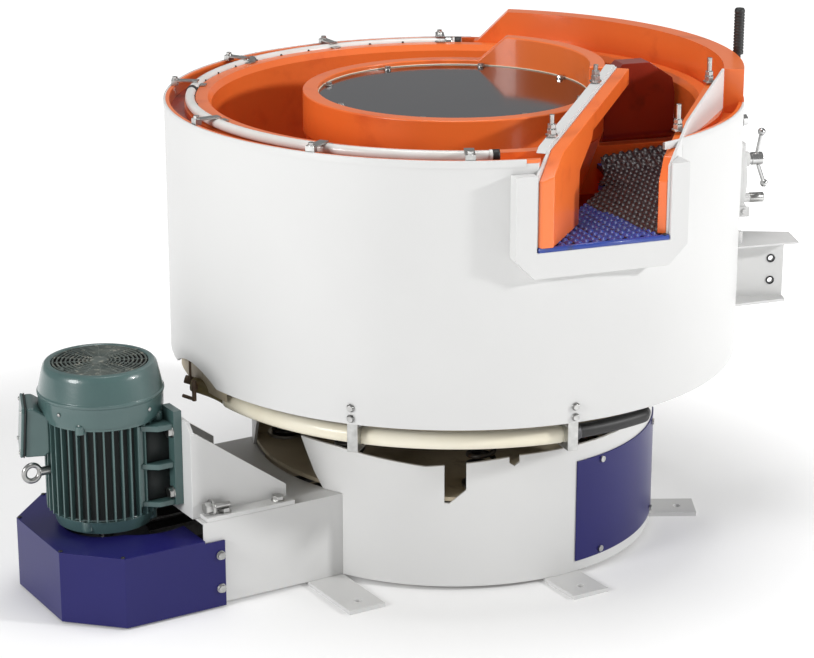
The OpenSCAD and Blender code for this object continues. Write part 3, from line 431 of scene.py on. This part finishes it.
def belt_mesh(level):
    """A V-belt round both pulleys, made in stations of centre, pitch radius and angle."""
    lean = math.acos((DRIVER_R - DRIVEN_R) / -MOTOR_X)
    stations = []
    for k in range(WRAP_STEPS + 1):
        a = -lean + 2 * lean * k / WRAP_STEPS
        stations.append((0, DRIVEN_R, a))
    for k in range(1, SPAN_STEPS):
        t = k / SPAN_STEPS
        stations.append((MOTOR_X * t, DRIVEN_R + (DRIVER_R - DRIVEN_R) * t, lean))
    for k in range(WRAP_STEPS + 1):
        a = lean + 2 * (math.pi - lean) * k / WRAP_STEPS
        stations.append((MOTOR_X, DRIVER_R, a))
    for k in range(1, SPAN_STEPS):
        t = 1 - k / SPAN_STEPS
        stations.append((MOTOR_X * t, DRIVEN_R + (DRIVER_R - DRIVEN_R) * t, -lean))
    section = [(BELT_OUT, -BELT_HALF_OUT), (BELT_OUT, BELT_HALF_OUT), (-BELT_IN, BELT_HALF_IN),
               (-BELT_IN, -BELT_HALF_IN)]
    verts = []
    for centre, radius, a in stations:
        for out, up in section:
            verts.append((centre + (radius + out) * math.cos(a), (radius + out) * math.sin(a), level + up))
    faces = []
    for i in range(len(stations)):
        j = (i + 1) % len(stations)
        for k in range(4):
            m = (k + 1) % 4
            faces.append((i * 4 + k, j * 4 + k, j * 4 + m, i * 4 + m))
    return verts, faces


belts = piece("belt_pair", *joined([belt_mesh(level) for level in BELT_LEVELS]), RUBBER, None, "black_rubber")
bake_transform(belts)
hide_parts("v_belts")

# ---------- motor ----------
COWL_TOP = 451
GRILLE_R = MOTOR_R - 18
RING_COUNT = 9
RING_FROM = 22
RING_STEP = 7.8
SPOKES = 16
FRAME_TOP = 346
FRAME_BOTTOM = 156
CORNERS = (225, 315, 45, 135)
at_motor = Matrix.Translation((MOTOR_X, 0, 0))
cowl_profile = [(MOTOR_R + 1, 356), (MOTOR_R + 4.2, 356), (MOTOR_R + 7.5, 367), (MOTOR_R + 7.5, 393),
                (MOTOR_R + 9.4, 395), (MOTOR_R + 9.4, 399), (MOTOR_R + 7.2, 401), (MOTOR_R - 1, 438),
                (MOTOR_R - 3, 445), (MOTOR_R - 7, 449.6), (MOTOR_R - 12, COWL_TOP), (MOTOR_R - 16, COWL_TOP),
                (GRILLE_R, COWL_TOP - 1.6), (GRILLE_R, COWL_TOP - 9)]
cowl = piece("fan_cowl", *moved(lathe_mesh(cowl_profile, 96), at_motor), MOTOR, "motor_carriage",
             "motor_paint", width=0.7)
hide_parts("motor_cowl")
grille = []
for k in range(RING_COUNT):
    ring = arc_path(RING_FROM + k * RING_STEP, COWL_TOP - 2, 0, 360, 64)[:-1]
    grille.append(tube_mesh(ring, 1.7, 8, closed=True))
for k in range(SPOKES):
    a = k * 360 / SPOKES
    spoke = [on_circle(14, a, COWL_TOP - 3.2), on_circle(GRILLE_R, a, COWL_TOP - 3.2)]
    grille.append(tube_mesh(spoke, 1.9, 8))
grille_hub = [(0, COWL_TOP + 1.5), (13, COWL_TOP + 1.5), (17, COWL_TOP - 0.5), (17, COWL_TOP - 5)]
grille.append(lathe_mesh(grille_hub, 48))
for a in (12, 102, 192, 282):
    grille.append(pan_mesh(4, turned(a, MOTOR_R - 24, 0, COWL_TOP - 0.6)))
piece("cowl_grille", *moved(joined(grille), at_motor), MOTOR_DUSTY, "motor_carriage", "motor_paint")
# A dark disc under the grille: painted shade inside the cowl.
piece("cowl_shade", *moved(lathe_mesh([(0, COWL_TOP - 7), (GRILLE_R, COWL_TOP - 7)], 48), at_motor), HOLLOW_SHADE,
      "motor_carriage", "fan_plastic")
BOSS_HIGH = 16
upper_boss = lathe_mesh([(0, BOSS_HIGH), (7, BOSS_HIGH), (8.5, 14), (8.5, 0)], 20)
lower_boss = lathe_mesh([(0, BOSS_HIGH), (8, BOSS_HIGH), (9, 14), (9, 0)], 20)
bosses = []
for a in CORNERS:
    bosses.append(moved(upper_boss, turned(a, MOTOR_R + 2, 0, FRAME_TOP)))
    bosses.append(moved(lower_boss, turned(a, MOTOR_R - 15, 0, FRAME_BOTTOM)))
piece("motor_bosses", *moved(joined(bosses), at_motor), MOTOR, "motor_carriage", "motor_paint", width=0.5)
screws = [pan_mesh(4.6, at_motor @ turned(a, MOTOR_R + 2, 0, FRAME_TOP + BOSS_HIGH)) for a in CORNERS]
for a in CORNERS:
    screws.append(pan_mesh(3.6, at_motor @ turned(a - 20) @ facing(MOTOR_R + 8, 0, 378, (1, 0, 0))))
piece("motor_screws", *joined(screws), ZINC, "motor_carriage", "zinc_steel")

# A dark cylinder inside the fins: painted shade between them.
shade_ring = lathe_mesh([(MOTOR_R - 11, 176), (MOTOR_R - 11, 352)], 80)
piece("fin_shade", *moved(shade_ring, at_motor), FIN_SHADE, "motor_carriage", "motor_paint")
FOOT_IN = 32
FOOT_OUT = 88
FOOT_SIDE = 94
FOOT_EDGE = 114
WEB_LEVELS = ((190, 200), (262, 273), (335, FRAME_TOP))
RECESS_LEVELS = ((200, 262), (273, 335))
feet = []
recess_shades = []
for s in (-1, 1):
    web = [(FOOT_IN, s * FOOT_SIDE), (FOOT_OUT, s * FOOT_SIDE), (FOOT_OUT, s * FOOT_EDGE),
           (FOOT_IN + 26, s * FOOT_EDGE)]
    for z0, z1 in WEB_LEVELS:
        feet.append(prism_mesh(web[::s], z0, z1))
    # Thin dark panels in the recesses between the webs: painted shade.
    near, far = s * (FOOT_SIDE + 0.3), s * (FOOT_SIDE + 1)
    recess = [(FOOT_IN + 12, near), (FOOT_OUT, near), (FOOT_OUT, far), (FOOT_IN + 12, far)]
    for z0, z1 in RECESS_LEVELS:
        recess_shades.append(prism_mesh(recess[::s], z0, z1))
piece("foot_webs", *moved(joined(feet), at_motor), MOTOR, "motor_carriage", "motor_paint", width=1.5)
piece("foot_recess_shade", *moved(joined(recess_shades), at_motor), FIN_SHADE, "motor_carriage", "motor_paint")

# Terminal box: a cast box with a tilted lid on a gasket, turned a little round the motor
BOX_TURN = -20
BOX_HALF = 44
LID_TILT = 4
LID_FLAT = 40
LID_HALF = 48
at_box = at_motor @ turned(BOX_TURN)
box_outline = [(-97, 296), (-97, 362), (-124, 380), (-137, 380), (-143, 287), (-106, 287)]
to_side = Matrix.Rotation(math.radians(90), 4, "X")
box = piece("terminal_body", *moved(prism_mesh(box_outline, -BOX_HALF, BOX_HALF), at_box @ to_side), MOTOR,
            "motor_carriage", "motor_paint", width=4)
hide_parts("terminal_box")
lid_lean = Matrix.Rotation(math.radians(LID_TILT), 4, "Y")
lid_stand = Matrix.Rotation(math.radians(-90), 4, "Y")
lid_place = at_box @ Matrix.Translation((-140, 0, 334)) @ lid_lean @ lid_stand
lid_outline = [(-LID_FLAT, -LID_HALF - 1), (LID_FLAT, -LID_HALF - 1), (LID_HALF, -LID_FLAT - 1),
               (LID_HALF, LID_FLAT + 1), (LID_FLAT, LID_HALF + 1), (-LID_FLAT, LID_HALF + 1),
               (-LID_HALF, LID_FLAT + 1), (-LID_HALF, -LID_FLAT - 1)]
piece("terminal_gasket", *moved(prism_mesh(lid_outline, -0.5, 2), lid_place), RUBBER, "motor_carriage",
      "black_rubber")
piece("terminal_lid", *moved(prism_mesh(lid_outline, 2, 8), lid_place), MOTOR, "motor_carriage",
      "motor_paint", width=2.4)
lid_screws = []
for x in (-38, 38):
    for y in (-39, 39):
        lid_screws.append(pan_mesh(4, lid_place @ Matrix.Translation((x, y, 8))))
piece("terminal_screws", *joined(lid_screws), ZINC, "motor_carriage", "zinc_steel")

# ---------- guard ----------
GUARD_Z = 138
GUARD_END = -888
RIVETS = ((GUARD_END + 5, 94), (GUARD_END + 88, 179))
rivets = []
for s in (-1, 1):
    for x, y in RIVETS:
        rivets.append(pan_mesh(4, Matrix.Translation((x, s * y, GUARD_Z))))
piece("guard_rivets", *joined(rivets), BLACK, "base", "black_steel")

# ---------- drain hose ----------
OLD_FROM = -185
OLD_TO = -176
BLACK_FROM = -97
BLACK_TO = -79
HOSE_SIZE = 16
BLACK_HOSE_SIZE = 13.2
OLD_HOSE_SIZE = 14
VALVE_R = 551
ivory = tube_mesh(arc_path(HOSE_R, HOSE_Z, OLD_TO, BLACK_FROM - 1, 110), HOSE_SIZE, 28)
hose = piece("hose_ivory", *ivory, HOSE, "bowl", "ivory_hose")
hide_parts("drain_pipe")
black = arc_path(HOSE_R, HOSE_Z, BLACK_FROM, BLACK_TO, 24)
black.append(on_circle(HOSE_R - 6, BLACK_TO + 1.2, HOSE_Z))
black.append(on_circle(HOSE_R - 30, BLACK_TO + 1.8, HOSE_Z))
black.append(on_circle(386, BLACK_TO + 1.8, HOSE_Z))
piece("hose_black", *tube_mesh(black, BLACK_HOSE_SIZE, 24), RUBBER, "bowl", "black_rubber")
old = []
for k in range(13):
    f = k / 12
    old.append(on_circle(HOSE_R + 34 * f * f, OLD_TO + (OLD_FROM - OLD_TO) * f, HOSE_Z + 12 * f))
piece("hose_old", *tube_mesh(old, OLD_HOSE_SIZE, 24), OLIVE, "bowl", "black_rubber")
ferrule = tube_mesh(arc_path(HOSE_R, HOSE_Z, -99, -95.6, 10), 17, 24,
                    radii=[15, 17, 17, 17, 18.5, 18.5, 17, 17, 15.5, 15.5, 14])
piece("hose_ferrule", *ferrule, IRON, "bowl", "cast_iron")
valve = [tube_mesh([on_circle(545, -186.5, 348), on_circle(545, -186.5, 402)], 2.6, 10),
         tube_mesh([on_circle(VALVE_R, -183, 366), on_circle(VALVE_R, -183, 326)], 4.5, 8),
         tube_mesh([on_circle(VALVE_R, -183, 329), on_circle(VALVE_R + 11, -186, 329)], 3.6, 8),
         tube_mesh([on_circle(538, -186.6, 352), on_circle(552, -187.6, 356)], 8, 12),
         tube_mesh([on_circle(540, -183.4, 352), on_circle(552, -183, 352)], 6, 8)]
piece("hose_valve", *joined(valve), RUST, "bowl", "cast_iron", width=0.6)
# A sheet inside the skirt behind the valve's notch, in the beige of the shaded inside: painted shade.
notch_shade_sheet = lathe_mesh([(533, 347), (533, 430)], 20, -200, 27)
piece("hose_notch_shade", *notch_shade_sheet, WHITE_IN_SHADE, "bowl", "white_paint")

# ---------- spray pipe ----------
SPRAY_R = 500.5
SPRAY_Z = RIM_Z - 1.6
NOZZLES = 22
NOZZLE_FROM = 62
NOZZLE_STEP = 8.3
NOZZLE_IN = 8.4
caps = [tube_mesh(arc_path(SPRAY_R, SPRAY_Z, 56.0, 57.6, 4), 10.6, 20),
        tube_mesh(arc_path(SPRAY_R, SPRAY_Z, 245.6, 247.0, 4), 10.6, 20),
        tube_mesh(arc_path(SPRAY_R, SPRAY_Z, 146, 147.6, 3), 10.4, 20)]
nozzle = lathe_mesh([(0, 2.4), (2.2, 2), (2.6, 0)], 12)
for k in range(NOZZLES):
    a = NOZZLE_FROM + k * NOZZLE_STEP
    inwards = tuple(-v for v in on_circle(1, a, 0))
    caps.append(moved(nozzle, facing(*on_circle(SPRAY_R - NOZZLE_IN, a, SPRAY_Z + 2), inwards)))
piece("spray_fittings", *joined(caps), RUBBER, "bowl", "black_rubber")
sleeves = [tube_mesh(arc_path(SPRAY_R, SPRAY_Z, 112, 115, 5), 11, 24),
           tube_mesh(arc_path(SPRAY_R, SPRAY_Z, 58.2, 60, 5), 10.8, 24)]
piece("spray_sleeves", *joined(sleeves), ZINC, "bowl", "zinc_steel")

# ---------- bowl ----------
RIM_FROM = 54
RIM_SWEEP = 197
# A dark red ring laid in the rim's groove: painted shade.
groove = lathe_mesh([(511.4, 836.4), (537.8, 836.4)], 180, RIM_FROM, RIM_SWEEP)
piece("rim_groove_shade", *groove, ORANGE_SHADED, "bowl", "orange_polyurethane")
edge_profile = [(546.5, 846), (546.5, RIM_Z + 0.4), (548, RIM_Z + 1.2), (BOWL_R, RIM_Z + 1),
                (BOWL_R + 1, RIM_Z - 0.6), (BOWL_R + 1, 846)]
edges = joined([lathe_mesh(edge_profile, 170, RIM_FROM, RIM_SWEEP), lathe_mesh(edge_profile, 40, -80, 39.5)])
piece("rim_edge", *edges, WHITE, "bowl", "white_paint")
seal = tube_mesh(arc_path(257.6, 859, 0, 360, 160)[:-1], 1.1, 8, closed=True)
piece("cover_seal", *seal, HOSE, "bowl", "orange_polyurethane")

# A sheet just inside the base shell in the beige of its shaded inner face: painted shade.
inner_wall = lathe_mesh([(389.4, 186), (389.4, 261)], 60, 20, 142)
piece("base_inner_shade", *inner_wall, WHITE_IN_SHADE, "base", "white_paint")
SHELF_DIR = -24
EYELET_R = 636
rings = []
for z in (462, 507):
    for s in (-1, 1):
        place = turned(SHELF_DIR) @ facing(EYELET_R, s * 2.4, z, (0, s, 0))
        rings.append(moved(lathe_mesh([(5.4, 0), (5.4, 1), (8.5, 1), (8.5, 0)], 24), place))
piece("shelf_eyelets", *joined(rings), BLACK, "bowl", "black_steel")
shelf_line = turned(SHELF_DIR) @ Matrix.Translation((BOWL_R + 4, -3.2, 541))
gap_mesh = prism_mesh([(0, 0), (96, 0), (96, 0.8), (0, 0.8)], -3, 2.5)
piece("shelf_gap", *moved(gap_mesh, shelf_line), BLACK, "bowl", "black_steel")
DOOR_DIR = -20.5
DOOR_Z = 622
peg = turned(DOOR_DIR) @ facing(598, 0, DOOR_Z, (1, 0, 0))
piece("door_peg_sleeve", *moved(lathe_mesh([(9.3, 0), (10, 1), (10, 28), (8.6, 29), (0, 29)], 28), peg), ZINC,
      "discharge_door", "bright_steel")

# ---------- flap grip ----------
GRIP_RIBS = 13
RIB_STEP = 6
grip_profile = [(0, 92), (8, 92), (10, 89)]
for k in range(GRIP_RIBS):
    z = 86 - k * RIB_STEP
    grip_profile += [(10.4, z), (10.4, z - 3), (9.2, z - 3.6), (9.2, z - 5.2)]
grip_profile += [(10.4, 8), (10.4, 1), (7, 0), (0, 0)]
grip_place = turned(FLAP_DIR, 594, 0, FLAP_Z + 134)
grip = piece("lever_grip", *moved(lathe_mesh(grip_profile, 32), grip_place), RUBBER, "flap", "black_rubber")
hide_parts("flap_grip")

# ---------- screen deck ----------
STEP = 1.9
ROW = 16.5
BUMP = 18
BUMP_ACROSS = 6.2
BUMP_ALONG = 7.6
BUMP_HIGH = 4.2
SLOT_HALF = 1.9
SLOT_LONG = 6.0
SLOT_DEEP = 1.2
DECK_TOP = LIP_Z + 2.6
HUB_CLEAR = 290
# The right cheek's shadow line on the deck, for the painted shadow.
SHADOW_EDGE_X = 133
SHADOW_EDGE_Y = -298
SHADOW_EDGE_LEAN = 0.13
CHANNEL_CLEAR = 457
SLOPE_FROM = -27
SLOPE_HIGH = 31
SLOPE_TO = FLAP_DIR - 4
DECK_LEFT = -69
DECK_FRONT = -557
DECK_SPAN = 500
CHUTE_SIDE = -52
deck_edge = [(DECK_LEFT, DECK_FRONT), (182, DECK_FRONT), (420, -245), (394, -232), (300, -120), (261, -164)]
deck_place = turned(CHUTE_YAW)


def inside(x, y, outline):
    """Whether a point is inside an outline."""
    hit = False
    j = len(outline) - 1
    for i, (xi, yi) in enumerate(outline):
        xj, yj = outline[j]
        if (yi > y) != (yj > y) and x < (xj - xi) * (y - yi) / (yj - yi) + xi:
            hit = not hit
        j = i
    return hit


def on_deck(x, y):
    """Whether a point of the chute's frame is on the deck."""
    r = math.hypot(x, y)
    if r < HUB_CLEAR:
        return False
    if inside(x, y, deck_edge):
        return True
    a = math.degrees(math.atan2(y, x)) + CHUTE_YAW
    return r < CHANNEL_CLEAR and CHUTE_SIDE < a < SLOPE_TO


def deck_slope(x, y):
    """Rise of the deck towards the threshold under the flap."""
    a = math.degrees(math.atan2(y, x)) + CHUTE_YAW
    return SLOPE_HIGH * max(0, min(1, (a - SLOPE_FROM) / (SLOPE_TO - SLOPE_FROM)))


def deck_height(x, y):
    """Height over the deck's slope and whether the point is in a slot."""
    row = round(x / ROW)
    across = x - row * ROW
    shift = y + (row % 2) * BUMP / 2
    along = shift - round(shift / BUMP) * BUMP
    q = (across / BUMP_ACROSS) ** 2 + (along / BUMP_ALONG) ** 2
    if q < 1:
        return BUMP_HIGH * math.sqrt(1 - q), False
    between = abs(abs(across) - ROW / 2)
    gap = y - round(y / BUMP) * BUMP
    if between < SLOT_HALF and abs(gap) < SLOT_LONG:
        return -SLOT_DEEP, True
    return 0.0, False


ids = {}
deck_verts = []
deck_faces = []
deck_slots = []
cells = int(DECK_SPAN / STEP)
for i in range(cells):
    for j in range(cells):
        x, y = DECK_LEFT + i * STEP, DECK_FRONT + j * STEP
        if not on_deck(x + STEP / 2, y + STEP / 2):
            continue
        corners = []
        for di, dj in ((0, 0), (1, 0), (1, 1), (0, 1)):
            key = (i + di, j + dj)
            if key not in ids:
                px, py = x + di * STEP, y + dj * STEP
                ids[key] = len(deck_verts)
                deck_verts.append((px, py, DECK_TOP + deck_slope(px, py) + deck_height(px, py)[0]))
            corners.append(ids[key])
        deck_faces.append(tuple(corners))
        cx, cy = x + STEP / 2, y + STEP / 2
        # Faces past a line along the right cheek's shadow take the painted shadow; slot faces take the
        # painted slot shade.
        past_shadow_line = cx > SHADOW_EDGE_X + (SHADOW_EDGE_Y - cy) * SHADOW_EDGE_LEAN
        deck_slots.append(2 if deck_height(cx, cy)[1] else 1 if past_shadow_line else 0)
piece("deck_bumps", mapped(deck_verts, deck_place), deck_faces, [DECK, DECK_SHADOW_AND_GRIME, SLOT_SHADE], "bowl",
      "blue_polyurethane", indices=deck_slots)
lip = tube_mesh([chute(-67, -561, LIP_Z + 1), chute(181, -561, LIP_Z + 1)], 5, 20)
piece("deck_lip", *lip, DECK, "bowl", "blue_polyurethane")
piece("lip_bolt", *pan_mesh(4.5, turned(CHUTE_YAW, 174, -560, LIP_Z + 5)), BLACK, "bowl", "black_steel")


# ---------- stage ----------
def stage_mesh(name, verts, faces, m):
    """A mesh of the stage, which isn't part of the object."""
    mesh = bpy.data.meshes.new(name)
    mesh.from_pydata(verts, [], faces)
    mesh.materials.append(m)
    obj = bpy.data.objects.new(name, mesh)
    bpy.context.scene.collection.objects.link(obj)
    return obj


# A pale floor, whose glow grows outwards and hides the lights' fall-off. The stage is in metres.
FLOOR_HALF = 30
FLOOR_CENTRE = (-0.4, -0.1, 0)
GLOW_NEAR = 0.12
GLOW_FAR = 0.75
GLOW_REACH = 2.0
floor = surface("floor", (0.86, 0.86, 0.86, 1), 0.7)
floor_tree = floor.node_tree
floor_shader = floor_tree.nodes["Principled BSDF"]
floor_shader.inputs["Specular IOR Level"].default_value = 0.1
floor_shader.inputs["Emission Color"].default_value = (1, 1, 1, 1)
floor_place = floor_tree.nodes.new("ShaderNodeTexCoord")
floor_scale = floor_tree.nodes.new("ShaderNodeMapping")
floor_scale.inputs["Scale"].default_value = (1 / GLOW_REACH, 1 / GLOW_REACH, 1)
floor_tree.links.new(floor_place.outputs["Object"], floor_scale.inputs["Vector"])
floor_ball = floor_tree.nodes.new("ShaderNodeTexGradient")
floor_ball.gradient_type = "SPHERICAL"
floor_tree.links.new(floor_scale.outputs["Vector"], floor_ball.inputs["Vector"])
floor_glow = floor_tree.nodes.new("ShaderNodeMapRange")
floor_glow.interpolation_type = "SMOOTHSTEP"
floor_glow.inputs["From Min"].default_value = 0.0
floor_glow.inputs["From Max"].default_value = 0.5
floor_glow.inputs["To Min"].default_value = GLOW_FAR
floor_glow.inputs["To Max"].default_value = GLOW_NEAR
floor_tree.links.new(floor_ball.outputs["Fac"], floor_glow.inputs["Value"])
floor_tree.links.new(floor_glow.outputs["Result"], floor_shader.inputs["Emission Strength"])
floor_object = stage_mesh("floor", [(-FLOOR_HALF, -FLOOR_HALF, 0), (FLOOR_HALF, -FLOOR_HALF, 0),
                                    (FLOOR_HALF, FLOOR_HALF, 0), (-FLOOR_HALF, FLOOR_HALF, 0)],
                          [(0, 1, 2, 3)], floor)
floor_object.location = FLOOR_CENTRE

WORLD_STRENGTH = 0.32
world = bpy.data.worlds.new("studio")
bpy.context.scene.world = world
world.use_nodes = True
world.node_tree.nodes["Background"].inputs["Color"].default_value = (1, 1, 1, 1)
world.node_tree.nodes["Background"].inputs["Strength"].default_value = WORLD_STRENGTH


AIM = Vector((0, 0, 0.5))


def area_light(name, azimuth, elevation, distance, size, power):
    """A round light seen from the middle of the bowl at two angles and a distance."""
    a = math.radians(azimuth)
    e = math.radians(elevation)
    light = bpy.data.lights.new(name, "AREA")
    light.shape = "DISK"
    light.size = size
    light.energy = power
    obj = bpy.data.objects.new(name, light)
    away = Vector((math.cos(a) * math.cos(e), math.sin(a) * math.cos(e), math.sin(e)))
    obj.location = AIM + away * distance
    obj.rotation_euler = (-away).to_track_quat("-Z", "Y").to_euler()
    bpy.context.scene.collection.objects.link(obj)


area_light("key", -50, 22, 5.0, 0.4, 125)
area_light("fill", -170, 18, 6.0, 2.0, 175)
area_light("overhead", 0, 90, 5.0, 2.5, 105)

# The photograph's camera: its distance, height, pitch and yaw round the turned object
FOCAL_PIXELS = 2469
PHOTO_WIDTH = 814
SENSOR = 36
CAMERA_BACK = 8.3987 * BOWL_R * MM
CAMERA_UP = 3.3962 * BOWL_R * MM
PITCH = 0.3109
YAW = -0.0191
OBJECT_TURN = math.radians(32.16)
camera = bpy.data.cameras.new("camera")
camera.sensor_width = SENSOR
camera.lens = FOCAL_PIXELS * SENSOR / PHOTO_WIDTH
camera.clip_end = 200
camera_object = bpy.data.objects.new("camera", camera)
bpy.context.scene.collection.objects.link(camera_object)
to_object = Matrix.Rotation(-OBJECT_TURN, 4, "Z")
look = Vector((math.sin(YAW) * math.cos(PITCH), math.cos(YAW) * math.cos(PITCH), -math.sin(PITCH)))
camera_object.location = to_object @ Vector((0, -CAMERA_BACK, CAMERA_UP))
camera_object.rotation_euler = (to_object @ look).to_track_quat("-Z", "Y").to_euler()
bpy.context.scene.camera = camera_object
bpy.context.scene.view_settings.view_transform = "Standard"
